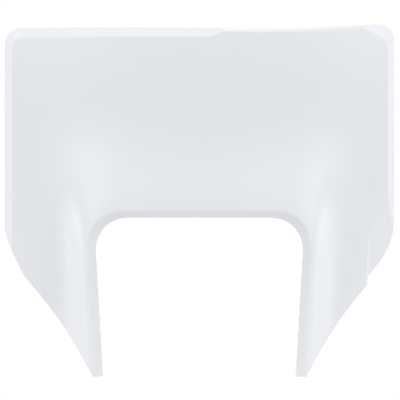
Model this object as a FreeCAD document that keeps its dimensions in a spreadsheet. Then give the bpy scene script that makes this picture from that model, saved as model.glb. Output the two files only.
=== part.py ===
import FreeCAD
import Part
import Sketcher
import math
import os
from FreeCAD import Vector

# One moulded headlight mask, in millimetres. +X is the viewer's right, +Z is up and the front looks along -Y.
# The origin is the centre of the four lamp bosses, in the plane of their rear seats.

SIZES = {
    # outline, seen from the front
    "half_width": 142.5,
    "top_left": 155.4,
    "top_fall": 0.9,
    "cut_start": 14.0,
    "cut_foot": 23.0,
    "cut_drop": 1.8,
    "cut_bow": 900.0,
    "ear_rise": 2.5,
    "ear_width": 13.5,
    "corner_left": 11.5,
    "corner_right": 10.0,
    "left_bend": 3.5,
    "left_hip_inset": 13.9,
    "left_hip_low": 25.5,
    "right_bend": 2.6,
    "notch_inset": 18.9,
    "notch_low": 26.2,
    "leg_inset": 20.3,
    "leg_low": 32.8,
    "leg_bow": 380.0,
    "tip_width": 7.3,
    "tip_low": 98.5,
    "bend_round_left": 40.0,
    "bend_round_right": 50.0,
    "hip_round": 25.0,
    "notch_round": 2.5,
    # front skin
    "wall": 3.0,
    "panel_depth": 24.0,
    "wrap_radius": 420.0,
    "crown_height": 80.0,
    "crown_radius_top": 600.0,
    "crown_radius_low": 2300.0,
    # flare of the skin towards the lamp
    "flare_out": 10.0,
    "flare_rake": 2.0,
    "flare_reach_top": 87.0,
    "flare_reach_leg": 28.5,
    "flare_reach_shoulder": 50.0,
    "shoulder_height": 33.5,
    "shoulder_span": 40.0,
    "edge_slope": 0.4,
    "arch_power": 3.8,
    # collar round the lamp opening
    "hole_half_top": 76.2,
    "hole_half_tip": 69.5,
    "hole_top": 16.2,
    "hole_round": 25.0,
    "collar_draft": 20.0,
    "collar_depth": 12.5,
    # bevelled rim and its skirt
    "fold_inset_left": 5.5,
    "fold_inset_right": 4.7,
    "fold_inset_top": 7.2,
    "fold_round": 8.0,
    "fold_end": 4.0,
    "fold_end_round": 22.0,
    "ear_fold_inset": 24.5,
    "ear_fold_drop": 1.9,
    "ear_fold_slope": 28.0,
    "bevel_flare": 31.0,
    "lip_width": 2.0,
    "lip_flare": 45.0,
    "skirt_depth": 18.0,
    "skirt_end": 22.0,
    # set-back facet at the lower right
    "setback_high": 29.0,
    "setback_low": 2.9,
    "setback_tilt": 37.0,
    "setback_draft": 9.0,
    "setback_lean": 2.6,
    # lamp bosses
    "boss_gap": 13.8,
    "boss_rise": 73.0,
    "boss_diameter": 10.0,
    "pilot_diameter": 4.2,
    "pilot_depth": 14.0,
}

doc = FreeCAD.newDocument("headlight_mask")
sheet = doc.addObject("Spreadsheet::Sheet", "sizes")
for row, (alias, value) in enumerate(SIZES.items(), start=1):
    sheet.set("A%d" % row, alias)
    sheet.set("B%d" % row, str(value))
    sheet.setAlias("B%d" % row, alias)
doc.recompute()


def size(alias):
    return float(sheet.get(alias))


def value_of(text):
    return float(sheet.evalExpression(text))


# Places that follow from the sizes, seen from the front.
PLACES = {
    "top_middle": "sizes.top_left - sizes.top_fall",
    "cut_low": "sizes.top_left - sizes.cut_drop",
    "ear_top": "sizes.top_left + sizes.ear_rise",
    "ear_start": "sizes.half_width - sizes.ear_width",
    "left_hip": "sizes.half_width - sizes.left_hip_inset",
    "notch": "sizes.half_width - sizes.notch_inset",
    "leg": "sizes.half_width - sizes.leg_inset",
    "tip": "sizes.hole_half_tip + sizes.tip_width",
    "fold_left": "sizes.half_width - sizes.fold_inset_left",
    "fold_right": "sizes.half_width - sizes.fold_inset_right",
    "fold_top": "sizes.top_left - sizes.fold_inset_top",
    "ear_fold": "sizes.half_width - sizes.ear_fold_inset",
    "ear_fold_height": "sizes.top_left + sizes.ear_rise - sizes.ear_fold_drop",
    "lamp_edge_top": "sizes.hole_top + sizes.collar_depth * tan(sizes.collar_draft)",
}


def place(name):
    return value_of(PLACES[name])


# Room past the outline for the cutting blocks, and past a fold line's end for a bevel.
PAST = 30.0
FRONT = 90.0
REAR = 60.0
LEAD = 7.0

# How closely the smooth skins follow their formula.
SKIN_TOLERANCE = 0.2


def bow_arc(start, end, radius):
    """The arc from start to end that bows to the right of the way between them."""
    chord = end - start
    side = Vector(chord.y, -chord.x, 0).normalize()
    sag = radius - math.sqrt(radius * radius - chord.Length * chord.Length / 4)
    return Part.ArcOfCircle(start, (start + end) * 0.5 + side * sag, end)


def profile(body, name, corners, bows=None, depth=None):
    """A closed sketch on the body's front plane, run clockwise, with every corner bound to the sheet."""
    sketch = body.newObject("Sketcher::SketchObject", name)
    sketch.AttachmentSupport = [([f for f in body.Origin.OriginFeatures if f.Role == "XZ_Plane"][0], "")]
    sketch.MapMode = "FlatFace"
    if depth:
        sketch.setExpression("AttachmentOffset.Base.z", depth)
    bows = bows or {}
    points = [Vector(value_of(across), value_of(up), 0) for across, up in corners]
    count = len(points)
    ends = []
    for i in range(count):
        start, end = points[i], points[(i + 1) % count]
        curve = bow_arc(start, end, size(bows[i])) if i in bows else Part.LineSegment(start, end)
        sketch.addGeometry(curve, False)
        ends.append((1, 2) if (curve.StartPoint - start).Length < 1e-6 else (2, 1))
    for i in range(count):
        after = (i + 1) % count
        sketch.addConstraint(Sketcher.Constraint("Coincident", i, ends[i][1], after, ends[after][0]))
    for i, (across, up) in enumerate(corners):
        spot = sketch.addConstraint(Sketcher.Constraint("DistanceX", -1, 1, i, ends[i][0], points[i].x))
        sketch.setExpression("Constraints[%d]" % spot, across)
        spot = sketch.addConstraint(Sketcher.Constraint("DistanceY", -1, 1, i, ends[i][0], points[i].y))
        sketch.setExpression("Constraints[%d]" % spot, up)
    for i, alias in bows.items():
        spot = sketch.addConstraint(Sketcher.Constraint("Radius", i, size(alias)))
        sketch.setExpression("Constraints[%d]" % spot, "sizes." + alias)
    doc.recompute()
    return sketch


def pad_forward(body, name, sketch, length, draft=None):
    pad = body.newObject("PartDesign::Pad", name)
    pad.Profile = sketch
    pad.Length = length
    if draft:
        pad.setExpression("TaperAngle", draft)
    doc.recompute()
    return pad


def round_corner(body, name, base, corner, radius):
    """Round the edge that runs from front to back at this corner of the profile."""
    across, up = value_of(corner[0]), value_of(corner[1])
    best = None
    for number, edge in enumerate(base.Shape.Edges, start=1):
        rear = max((v.Point for v in edge.Vertexes), key=lambda p: p.y)
        run = max(v.Point.y for v in edge.Vertexes) - min(v.Point.y for v in edge.Vertexes)
        gap = math.hypot(rear.x - across, rear.z - up)
        if run > 1 and (best is None or gap < best[0]):
            best = (gap, "Edge%d" % number)
    fillet = body.newObject("PartDesign::Fillet", name)
    fillet.Base = (base, [best[1]])
    fillet.setExpression("Radius", radius)
    doc.recompute()
    return fillet


def base_depth(x, z):
    """The panel alone: wrapped round a vertical axis and crowned from top to bottom."""
    radius = size("wrap_radius")
    rise = z - size("crown_height")
    bend = size("crown_radius_top") if rise > 0 else size("crown_radius_low")
    return -size("panel_depth") + radius - math.sqrt(radius * radius - x * x) + rise * rise / (2 * bend)


def edge_depth(z):
    """Depth of the raked plane in which the lamp edge lies."""
    rake = math.tan(math.radians(size("flare_rake")))
    return -size("panel_depth") - size("flare_out") - (place("lamp_edge_top") - z) * rake


def lamp_edge_half(z):
    """Half the width between the lamp edges, where the drafted collar meets the raked plane."""
    share = (size("hole_top") - z) / (size("hole_top") + size("tip_low"))
    hole = size("hole_half_top") + share * (size("hole_half_tip") - size("hole_half_top"))
    collar = size("collar_depth") - size("panel_depth") - size("flare_out") - edge_depth(z)
    return hole + collar * math.tan(math.radians(size("collar_draft")))


def arch_number(x, z):
    """Which arch round the lamp passes here: 0 at the lamp edge, 1 at the flare's foot, square-shouldered."""
    corner = size("hole_round") + size("wall")
    across = max(abs(x) - (lamp_edge_half(z) - corner), 0.0)
    up = max(z - (place("lamp_edge_top") - corner), 0.0)
    grown = 1 / (1 + math.exp(-4 * (z - size("shoulder_height")) / size("shoulder_span")))
    side = size("flare_reach_leg") + grown * (size("flare_reach_shoulder") - size("flare_reach_leg"))
    top = size("flare_reach_top")
    low, high = -0.6 * corner / max(side, top), 5.0
    for step in range(40):
        arch = (low + high) / 2
        power = 2 + (size("arch_power") - 2) * min(max(arch, 0.0), 1.0)
        if (across / (corner + arch * side)) ** power + (up / (corner + arch * top)) ** power > 1:
            low = arch
        else:
            high = arch
    return arch


def flare_share(x, z):
    """0 on the plain panel, 1 at the lamp edge: leaves the edge at its slope and runs out smoothly at the foot."""
    arch, slope = arch_number(x, z), size("edge_slope")
    if arch >= 1:
        return 0.0
    if arch < 0:
        return 1 + 0.15 * slope * (1 - math.exp(arch / 0.15))
    fall = slope * arch + (6 - 3 * slope) * arch ** 2 + (3 * slope - 8) * arch ** 3 + (3 - slope) * arch ** 4
    return 1 - fall


def front_depth(x, z):
    """Depth of the front skin: the panel, flared forward to a raked plane at the lamp edge."""
    base = base_depth(x, z)
    return base + flare_share(x, z) * (edge_depth(z) - base)


def skin_block(depth_at, behind):
    """Everything behind a skin, or behind its offset towards the rear."""
    rows = []
    wide = size("half_width") + LEAD
    low, high = -size("tip_low") - LEAD, place("ear_top") + LEAD
    across_steps, up_steps = 26, 24
    for i in range(across_steps + 1):
        x = wide * (2.0 * i / across_steps - 1)
        row = []
        for j in range(up_steps + 1):
            z = low + (high - low) * j / up_steps
            slope_x = (depth_at(x + 0.5, z) - depth_at(x - 0.5, z))
            slope_z = (depth_at(x, z + 0.5) - depth_at(x, z - 0.5))
            inward = Vector(-slope_x, 1, -slope_z).normalize()
            row.append(Vector(x, depth_at(x, z), z) + inward * behind)
        rows.append(row)
    surface = Part.BSplineSurface()
    surface.approximate(Points=rows, DegMin=3, DegMax=6, Continuity=2, Tolerance=SKIN_TOLERANCE)
    return surface.toShape().extrude(Vector(0, FRONT + REAR, 0))


def rim_path_left():
    """Front-view points of the left fold line with the way outward at each, from below up to the run-out."""
    side, top, corner = place("fold_left"), place("fold_top"), size("fold_round")
    end, turn = size("fold_end"), size("fold_end_round")
    steps = []
    low = -size("tip_low") / 2
    for i in range(30):
        steps.append((-side, low + (top - corner - low) * i / 30, -1.0, 0.0))
    for i in range(9):
        angle = math.radians(180 - 90 * i / 8)
        steps.append((corner - side + corner * math.cos(angle), top - corner + corner * math.sin(angle),
                      math.cos(angle), math.sin(angle)))
    for i in range(1, 25):
        steps.append((corner - side + (end + side - corner) * i / 24, top, 0.0, 1.0))
    for i in range(1, 9):
        angle = math.radians(56 * i / 8)
        steps.append((end + turn * math.sin(angle), top + turn * (1 - math.cos(angle)),
                      -math.sin(angle), math.cos(angle)))
    return steps


def rim_path_right():
    """The same for the right fold line, from the top edge round the corner and down the side."""
    side, corner = place("fold_right"), size("fold_round")
    slope = math.radians(size("ear_fold_slope"))
    along = Vector(math.cos(slope), -math.sin(slope), 0)
    start = Vector(place("ear_fold"), place("ear_fold_height"), 0) - along * LEAD
    centre_x = side - corner
    run = (centre_x + corner * math.sin(slope) - start.x) / math.cos(slope)
    turn = start + along * run
    centre_z = turn.y - corner * math.cos(slope)
    steps = []
    for i in range(6):
        steps.append((start.x + (turn.x - start.x) * i / 6, start.y + (turn.y - start.y) * i / 6,
                      math.sin(slope), math.cos(slope)))
    for i in range(8):
        angle = math.pi / 2 - slope - (math.pi / 2 - slope) * i / 7
        steps.append((centre_x + corner * math.cos(angle), centre_z + corner * math.sin(angle),
                      math.cos(angle), math.sin(angle)))
    low = -size("tip_low") / 2
    for i in range(1, 31):
        steps.append((side, centre_z + (low - centre_z) * i / 30, 1.0, 0.0))
    return steps


def lip_path():
    """The same for the narrow lip between the two, which follows the bowed top edge."""
    start = Vector(size("cut_foot"), place("cut_low"), 0)
    way = Vector(place("ear_start"), place("ear_top"), 0) - start
    sag = way.Length ** 2 / (8 * size("cut_bow"))
    out = Vector(-way.y, way.x, 0).normalize()
    lead = LEAD / way.Length
    steps = []
    for i in range(21):
        share = -2 * lead + (1 + 3 * lead) * i / 20
        spot = start + way * share - out * (size("lip_width") + sag * 4 * share * (1 - share))
        steps.append((spot.x, spot.y, out.x, out.y))
    return steps


def bevel_cutter(path, slope, behind):
    """What a bevel along this fold line takes off, or leaves to the wall behind it."""
    flare = math.radians(size(slope))
    rows = []
    for x, z, out_x, out_z in path:
        depth = front_depth(x, z) + behind / math.sin(flare)
        row = []
        for out in (-1.5, 3.0, 7.5, 12.0):
            row.append(Vector(x + out_x * out, depth + out / math.tan(flare), z + out_z * out))
        rows.append(row)
    surface = Part.BSplineSurface()
    surface.interpolate(rows)
    return surface.toShape().extrude(Vector(0, -FRONT, 0))


def setback_cutter(behind):
    """What the set-back facet takes off the lower right, bounded by a drafted wall at its ridge."""
    side, ridge = place("fold_right"), place("notch")
    high = Vector(side, front_depth(side, size("setback_high")), size("setback_high"))
    low = Vector(ridge, front_depth(ridge, size("setback_low")), size("setback_low"))
    along = (low - high).normalize()
    out = along.cross(Vector(0, 1, 0)).normalize()
    if out.x < 0:
        out = out * -1
    tilt = math.radians(size("setback_tilt"))
    level = along.cross(out).normalize()
    if level.y > 0:
        level = level * -1
    fall = out * math.cos(tilt) - level * math.sin(tilt)
    face_out = fall.cross(along).normalize()
    if face_out.y > 0:
        face_out = face_out * -1
    start = (high + low) * 0.5 - face_out * behind
    corners = [start + along * a + fall * b for a, b in ((-200, -90), (200, -90), (200, 90), (-200, 90))]
    slab = Part.Face(Part.makePolygon(corners + [corners[0]])).extrude(face_out * FRONT)
    draft = math.radians(size("setback_draft"))
    deep = Vector(math.sin(draft), math.cos(draft), 0)
    lean = math.radians(size("setback_lean"))
    rise = Vector(math.sin(lean), 0, math.cos(lean))
    foot = Vector(ridge - behind, low.y, low.z)
    ways = ((-FRONT, -200), (REAR, -200), (REAR, 200), (-FRONT, 200))
    wall = [foot + deep * a + rise * b for a, b in ways]
    right = Part.Face(Part.makePolygon(wall + [wall[0]])).extrude(Vector(200, 0, 0))
    return slab.common(right)


def solid_object(name, shape):
    item = doc.addObject("Part::Feature", name)
    item.Shape = shape
    return item


def cut(name, base, tool):
    item = doc.addObject("Part::Cut", name)
    item.Base = base
    item.Tool = tool
    doc.recompute()
    return item


# Outline block, front to back.
outline = doc.addObject("PartDesign::Body", "outline_block")
corners = [
    ("-sizes.half_width", "sizes.top_left"),
    ("sizes.cut_start", PLACES["top_middle"]),
    ("sizes.cut_foot", PLACES["cut_low"]),
    (PLACES["ear_start"], PLACES["ear_top"]),
    ("sizes.half_width", PLACES["ear_top"]),
    ("sizes.half_width", "-sizes.right_bend"),
    (PLACES["notch"], "-sizes.notch_low"),
    (PLACES["leg"], "-sizes.leg_low"),
    (PLACES["tip"], "-sizes.tip_low"),
    ("-(%s)" % PLACES["tip"], "-sizes.tip_low"),
    ("-(%s)" % PLACES["leg"], "-sizes.leg_low"),
    ("-(%s)" % PLACES["left_hip"], "-sizes.left_hip_low"),
    ("-sizes.half_width", "sizes.left_bend"),
]
sketch = profile(outline, "outline", corners, {2: "cut_bow", 7: "leg_bow", 9: "leg_bow"}, str(-REAR))
stage = pad_forward(outline, "outline_pad", sketch, FRONT + REAR)
for name, spot, radius in (
    ("round_top_left", 0, "corner_left"),
    ("round_top_right", 4, "corner_right"),
    ("round_right_bend", 5, "bend_round_right"),
    ("round_notch_high", 6, "notch_round"),
    ("round_notch_low", 7, "notch_round"),
    ("round_left_hip", 11, "hip_round"),
    ("round_left_bend", 12, "bend_round_left"),
):
    stage = round_corner(outline, name, stage, corners[spot], "sizes." + radius)
outline.Tip = stage

# Lamp opening and the block that leaves the collar round it.
lamp_depth = "sizes.panel_depth + sizes.flare_out - sizes.collar_depth"
lean_per_mm = "(sizes.hole_half_top - sizes.hole_half_tip) / (sizes.hole_top + sizes.tip_low)"


def lamp_body(name, grow):
    body = doc.addObject("PartDesign::Body", name)
    top_half = "sizes.hole_half_top + " + grow
    low_half = "sizes.hole_half_tip - %s * %s + %s" % (PAST, lean_per_mm, grow)
    top = "sizes.hole_top + " + grow
    low = "-sizes.tip_low - %s" % PAST
    spots = [("-(%s)" % top_half, top), (top_half, top), (low_half, low), ("-(%s)" % low_half, low)]
    shape = profile(body, name + "_profile", spots, depth=lamp_depth)
    step = pad_forward(body, name + "_pad", shape, FRONT / 2, "sizes.collar_draft")
    step = round_corner(body, name + "_round_left", step, spots[0], "sizes.hole_round + " + grow)
    step = round_corner(body, name + "_round_right", step, spots[1], "sizes.hole_round + " + grow)
    body.Tip = step
    return body


lamp_hole = lamp_body("lamp_hole", "0 * sizes.wall")
collar_block = lamp_body("collar_block", "sizes.wall / cos(sizes.collar_draft)")

# Hollow behind the skin, inside the skirt.
hollow = doc.addObject("PartDesign::Body", "hollow_block")
inner_half = "sizes.half_width - sizes.wall"
spots = [
    ("-(%s)" % inner_half, "sizes.top_left - sizes.wall"),
    ("sizes.skirt_end", PLACES["top_middle"] + " - sizes.wall"),
    ("sizes.skirt_end", "%s + %s" % (PLACES["ear_top"], PAST / 2)),
    (PLACES["ear_fold"], "%s + %s" % (PLACES["ear_top"], PAST / 2)),
    (PLACES["ear_fold"], PLACES["ear_top"] + " - sizes.wall"),
    (inner_half, PLACES["ear_top"] + " - sizes.wall"),
    (inner_half, "-sizes.tip_low - %s" % (PAST / 2)),
    ("-(%s)" % inner_half, "-sizes.tip_low - %s" % (PAST / 2)),
]
sketch = profile(hollow, "hollow", spots, depth=str(-REAR))
stage = pad_forward(hollow, "hollow_pad", sketch, FRONT + REAR)
stage = round_corner(hollow, "hollow_top_left", stage, spots[0], "sizes.corner_left - sizes.wall")
stage = round_corner(hollow, "hollow_top_right", stage, spots[5], "sizes.corner_right - sizes.wall")
hollow.Tip = stage

# Skins, bevels and the set-back facet.
wall = size("wall")
front_block = solid_object("front_block", skin_block(front_depth, 0.0))
inner_block = solid_object("inner_block", skin_block(front_depth, wall))
rear_block = solid_object("rear_block", skin_block(lambda x, z: base_depth(x, z) + size("skirt_depth"), 0.0))

blank = doc.addObject("Part::Common", "blank")
blank.Base = outline
blank.Tool = front_block
doc.recompute()
blank = cut("blank_rear", blank, rear_block)
BEVELS = (
    ("left", rim_path_left(), "bevel_flare"),
    ("right", rim_path_right(), "bevel_flare"),
    ("lip", lip_path(), "lip_flare"),
)
for name, path, slope in BEVELS:
    blank = cut("blank_" + name, blank, solid_object("bevel_" + name, bevel_cutter(path, slope, 0.0)))
blank = cut("blank_setback", blank, solid_object("setback", setback_cutter(0.0)))

core = doc.addObject("Part::Common", "core")
core.Base = hollow
core.Tool = inner_block
doc.recompute()
for name, path, slope in BEVELS:
    core = cut("core_" + name, core, solid_object("wall_" + name, bevel_cutter(path, slope, wall)))
core = cut("core_setback", core, solid_object("setback_wall", setback_cutter(wall)))
core = cut("core_collar", core, collar_block)

# Four bosses stand in the hollow, with blind pilot holes from their seats.
pilots = []
for name, side, level in (("high_left", -1, 1), ("high_right", 1, 1), ("low_left", -1, -1), ("low_right", 1, -1)):
    post = doc.addObject("Part::Cylinder", "boss_" + name)
    post.setExpression("Radius", "sizes.boss_diameter / 2")
    pilot = doc.addObject("Part::Cylinder", "pilot_" + name)
    pilot.setExpression("Radius", "sizes.pilot_diameter / 2")
    post.Height = FRONT
    pilot.setExpression("Height", "sizes.pilot_depth")
    for item in (post, pilot):
        item.Placement = FreeCAD.Placement(Vector(0, 0, 0), FreeCAD.Rotation(Vector(1, 0, 0), 90))
        item.setExpression("Placement.Base.x", "%d * (sizes.hole_half_top + sizes.boss_gap)" % side)
        item.setExpression("Placement.Base.z", "%d * sizes.boss_rise / 2" % level)
    doc.recompute()
    core = cut("core_" + name, core, post)
    pilots.append(pilot)

mask = cut("shell", blank, core)
mask = cut("open_shell", mask, lamp_hole)
for number, pilot in enumerate(pilots):
    mask = cut("drilled_%d" % number, mask, pilot)
mask.Label = "headlight_mask"
doc.recompute()

for item in doc.Objects:
    if "Invalid" in item.State or "Error" in item.State:
        raise RuntimeError("%s did not build: %s" % (item.Name, item.State))
if mask.Shape.isNull() or not mask.Shape.isValid() or len(mask.Shape.Solids) != 1:
    raise RuntimeError("the mask is not one sound solid: %d solids" % len(mask.Shape.Solids))

os.makedirs("parts", exist_ok=True)
mask.Shape.exportStep("parts/%s.step" % mask.Label)
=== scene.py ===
import math

import bmesh
import bpy
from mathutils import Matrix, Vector


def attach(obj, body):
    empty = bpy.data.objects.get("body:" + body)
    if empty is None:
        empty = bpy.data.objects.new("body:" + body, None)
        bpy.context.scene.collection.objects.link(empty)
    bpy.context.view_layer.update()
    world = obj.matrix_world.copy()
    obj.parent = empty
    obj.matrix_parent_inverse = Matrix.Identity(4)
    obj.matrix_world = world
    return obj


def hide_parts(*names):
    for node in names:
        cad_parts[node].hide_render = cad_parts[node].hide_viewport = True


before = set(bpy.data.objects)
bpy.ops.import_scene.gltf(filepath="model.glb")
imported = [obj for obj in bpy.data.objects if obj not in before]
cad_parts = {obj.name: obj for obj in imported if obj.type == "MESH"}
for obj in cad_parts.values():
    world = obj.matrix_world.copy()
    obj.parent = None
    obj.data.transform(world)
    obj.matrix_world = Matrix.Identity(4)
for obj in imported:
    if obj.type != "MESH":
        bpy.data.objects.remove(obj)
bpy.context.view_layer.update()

MASK = "headlight_mask"

# Lengths are in metres.
VOXEL = 0.0006
WELD = 0.00002
SHARP = math.radians(20.0)
EDGE_ZONE = (0.001, 0.005)
FACET_PASSES = 90
EDGE_PASSES = 5
SMOOTH_FACTOR = 0.5
TRIANGLES = 185000

PLASTIC_TINTS = ((0.785, 0.8, 0.836), (0.795, 0.81, 0.846))
PLASTIC_ROUGHNESS = (0.36, 0.4)
PLASTIC_IOR = 1.46
FLOW_SCALE, FLOW_DETAIL = 18.0, 3.0
GRAIN_SCALE, GRAIN_DETAIL = 2200.0, 2.0
GRAIN_STRENGTH = 0.04
GRAIN_HEIGHT = 0.0002

FLOOR_HEIGHT = -0.17
FLOOR_SOLID = 0.35
FLOOR_REACH = 0.85
FLOOR_TINTS = ((0.93, 0.93, 0.93), (0.95, 0.95, 0.95))
FLOOR_ROUGHNESS = 0.9
FLOOR_SCALE, FLOOR_DETAIL = 3.0, 4.0

# Name, azimuth and elevation in degrees, width in metres, power in watts.
LAMPS = (
    ("left_key", -34.0, 29.0, 0.6, 4.1),
    ("middle_key", 4.0, 32.0, 0.6, 1.4),
    ("right_key", 45.0, 28.0, 0.6, 4.1),
    ("left_side", -97.0, 11.0, 0.9, 6.1),
    ("right_side", 100.0, 9.0, 0.9, 6.0),
    ("top_box", 0.0, 88.0, 0.8, 6.2),
)
LAMP_MIDDLE = Vector((0.0, -0.02, 0.03))
LAMP_REACH = 1.6
FILL = 0.52
WHITE = (1.0, 1.0, 1.0, 1.0)

SENSOR = 36.0
DISTANCE = 3.0
FIELD = 0.2919
CAMERA_SPOT = (0.00044, -DISTANCE, 0.02919)
FAR_CLIP = 20.0


def evaluated(piece):
    graph = bpy.context.evaluated_depsgraph_get()
    return bpy.data.meshes.new_from_object(piece.evaluated_get(graph))


def sharp_lines(node):
    """The solid's fold and rim lines as a wire, to measure from."""
    work = bmesh.new()
    work.from_mesh(node.data)
    bmesh.ops.remove_doubles(work, verts=work.verts, dist=WELD)
    smooth = [e for e in work.edges if not e.is_manifold or e.calc_face_angle() < SHARP]
    bmesh.ops.delete(work, geom=smooth, context="EDGES")
    mesh = bpy.data.meshes.new("sharp_lines")
    work.to_mesh(mesh)
    work.free()
    wire = bpy.data.objects.new("sharp_lines", mesh)
    bpy.context.scene.collection.objects.link(wire)
    return wire


def moulded_skin(node):
    """The mask as it leaves the mould: smooth between its lines, and every line slightly rounded."""
    piece = bpy.data.objects.new("mask_skin", node.data.copy())
    bpy.context.scene.collection.objects.link(piece)
    weld = piece.modifiers.new("weld", "WELD")
    weld.merge_threshold = WELD
    remesh = piece.modifiers.new("even_skin", "REMESH")
    remesh.mode = "VOXEL"
    remesh.voxel_size = VOXEL
    piece.data = evaluated(piece)
    piece.modifiers.clear()

    wire = sharp_lines(node)
    between = piece.vertex_groups.new(name="between_lines")
    between.add(range(len(piece.data.vertices)), 1.0, "REPLACE")
    reach = piece.modifiers.new("distance", "VERTEX_WEIGHT_PROXIMITY")
    reach.vertex_group = between.name
    reach.target = wire
    reach.proximity_mode = "GEOMETRY"
    reach.proximity_geometry = {"EDGE"}
    reach.min_dist, reach.max_dist = EDGE_ZONE
    facets = piece.modifiers.new("facet_round", "SMOOTH")
    facets.vertex_group = between.name
    facets.factor = SMOOTH_FACTOR
    facets.iterations = FACET_PASSES
    lines = piece.modifiers.new("line_round", "SMOOTH")
    lines.factor = SMOOTH_FACTOR
    lines.iterations = EDGE_PASSES
    thin = piece.modifiers.new("thin_out", "DECIMATE")
    thin.ratio = min(1.0, TRIANGLES / (2 * len(piece.data.polygons)))
    piece.data = evaluated(piece)
    piece.modifiers.clear()
    piece.vertex_groups.clear()
    piece.data.shade_smooth()
    piece.data.name = "mask_skin"
    bpy.data.objects.remove(wire)
    return piece


def noise(nodes, links, place, scale, detail):
    texture = nodes.new("ShaderNodeTexNoise")
    texture.inputs["Scale"].default_value = scale
    texture.inputs["Detail"].default_value = detail
    links.new(place.outputs["Object"], texture.inputs["Vector"])
    return texture


def tinted(nodes, links, cloud, first, second):
    tint = nodes.new("ShaderNodeMix")
    tint.data_type = "RGBA"
    tint.inputs["A"].default_value = (*first, 1.0)
    tint.inputs["B"].default_value = (*second, 1.0)
    links.new(cloud.outputs["Fac"], tint.inputs["Factor"])
    return tint


def ranged(nodes, links, cloud, low, high):
    spread = nodes.new("ShaderNodeMapRange")
    spread.inputs["To Min"].default_value = low
    spread.inputs["To Max"].default_value = high
    links.new(cloud.outputs["Fac"], spread.inputs["Value"])
    return spread


def white_plastic():
    """Cool white moulded plastic: faint flow clouds in its colour and gloss, and a fine mould grain."""
    material = bpy.data.materials.new("white_plastic")
    material.use_nodes = True
    nodes, links = material.node_tree.nodes, material.node_tree.links
    shader = nodes["Principled BSDF"]
    place = nodes.new("ShaderNodeTexCoord")
    cloud = noise(nodes, links, place, FLOW_SCALE, FLOW_DETAIL)
    tint = tinted(nodes, links, cloud, *PLASTIC_TINTS)
    links.new(tint.outputs["Result"], shader.inputs["Base Color"])
    gloss = ranged(nodes, links, cloud, *PLASTIC_ROUGHNESS)
    links.new(gloss.outputs["Result"], shader.inputs["Roughness"])
    grain = noise(nodes, links, place, GRAIN_SCALE, GRAIN_DETAIL)
    bump = nodes.new("ShaderNodeBump")
    bump.inputs["Strength"].default_value = GRAIN_STRENGTH
    bump.inputs["Distance"].default_value = GRAIN_HEIGHT
    links.new(grain.outputs["Fac"], bump.inputs["Height"])
    links.new(bump.outputs["Normal"], shader.inputs["Normal"])
    shader.inputs["IOR"].default_value = PLASTIC_IOR
    return material


def pale_table():
    """The floor: a matt, hardly uneven table that fades into the white background towards its edge."""
    material = bpy.data.materials.new("pale_table")
    material.use_nodes = True
    nodes, links = material.node_tree.nodes, material.node_tree.links
    shader = nodes["Principled BSDF"]
    place = nodes.new("ShaderNodeTexCoord")
    cloud = noise(nodes, links, place, FLOOR_SCALE, FLOOR_DETAIL)
    tint = tinted(nodes, links, cloud, *FLOOR_TINTS)
    links.new(tint.outputs["Result"], shader.inputs["Base Color"])
    shader.inputs["Roughness"].default_value = FLOOR_ROUGHNESS
    away = nodes.new("ShaderNodeVectorMath")
    away.operation = "LENGTH"
    links.new(place.outputs["Object"], away.inputs["Vector"])
    fade = nodes.new("ShaderNodeMapRange")
    fade.interpolation_type = "SMOOTHSTEP"
    fade.inputs["From Min"].default_value = FLOOR_SOLID
    fade.inputs["From Max"].default_value = FLOOR_REACH
    links.new(away.outputs["Value"], fade.inputs["Value"])
    clear = nodes.new("ShaderNodeBsdfTransparent")
    mix = nodes.new("ShaderNodeMixShader")
    links.new(fade.outputs["Result"], mix.inputs["Fac"])
    links.new(shader.outputs["BSDF"], mix.inputs[1])
    links.new(clear.outputs["BSDF"], mix.inputs[2])
    links.new(mix.outputs["Shader"], nodes["Material Output"].inputs["Surface"])
    return material


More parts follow.
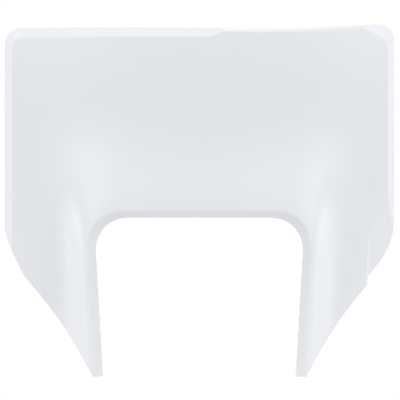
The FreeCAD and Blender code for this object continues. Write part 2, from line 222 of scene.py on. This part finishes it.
def softbox(name, azimuth, elevation, width, power):
    """A round softbox that looks at the mask. Azimuth 0 is in front, +90 on the viewer's right."""
    turn, rise = math.radians(azimuth), math.radians(elevation)
    way = Vector((math.sin(turn) * math.cos(rise), -math.cos(turn) * math.cos(rise), math.sin(rise)))
    lamp = bpy.data.lights.new(name, "AREA")
    lamp.shape = "DISK"
    lamp.size = width
    lamp.energy = power
    holder = bpy.data.objects.new(name, lamp)
    holder.location = LAMP_MIDDLE + way * LAMP_REACH
    holder.rotation_euler = (-way).to_track_quat("-Z", "Y").to_euler()
    bpy.context.scene.collection.objects.link(holder)


def studio_world(fill):
    """Even white light of this strength. The background and its reflections are plain white."""
    world = bpy.data.worlds.new("studio")
    world.use_nodes = True
    nodes, links = world.node_tree.nodes, world.node_tree.links
    around = nodes["Background"]
    around.inputs["Color"].default_value = WHITE
    around.inputs["Strength"].default_value = fill
    seen = nodes.new("ShaderNodeBackground")
    seen.inputs["Color"].default_value = WHITE
    seen.inputs["Strength"].default_value = 1.0
    path = nodes.new("ShaderNodeLightPath")
    chosen = path.outputs["Is Camera Ray"]
    for ray in ("Is Glossy Ray", "Is Transmission Ray"):
        either = nodes.new("ShaderNodeMath")
        either.operation = "MAXIMUM"
        links.new(chosen, either.inputs[0])
        links.new(path.outputs[ray], either.inputs[1])
        chosen = either.outputs["Value"]
    mix = nodes.new("ShaderNodeMixShader")
    links.new(chosen, mix.inputs["Fac"])
    links.new(around.outputs["Background"], mix.inputs[1])
    links.new(seen.outputs["Background"], mix.inputs[2])
    links.new(mix.outputs["Shader"], nodes["World Output"].inputs["Surface"])
    bpy.context.scene.world = world


skin = moulded_skin(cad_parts[MASK])
skin.data.materials.clear()
skin.data.materials.append(white_plastic())
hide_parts(MASK)
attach(skin, "root")

for lamp_values in LAMPS:
    softbox(*lamp_values)
studio_world(FILL)

bpy.ops.mesh.primitive_plane_add(size=2 * FLOOR_REACH, location=(0.0, 0.0, FLOOR_HEIGHT))
floor = bpy.context.object
floor.name = "floor"
floor.data.materials.append(pale_table())

lens = bpy.data.cameras.new("camera")
lens.sensor_width = SENSOR
lens.sensor_fit = "HORIZONTAL"
lens.lens = SENSOR * DISTANCE / FIELD
lens.clip_end = FAR_CLIP
camera = bpy.data.objects.new("camera", lens)
camera.location = CAMERA_SPOT
camera.rotation_euler = (math.radians(90.0), 0.0, 0.0)
bpy.context.scene.collection.objects.link(camera)
bpy.context.scene.camera = camera
bpy.context.scene.view_settings.view_transform = "Standard"
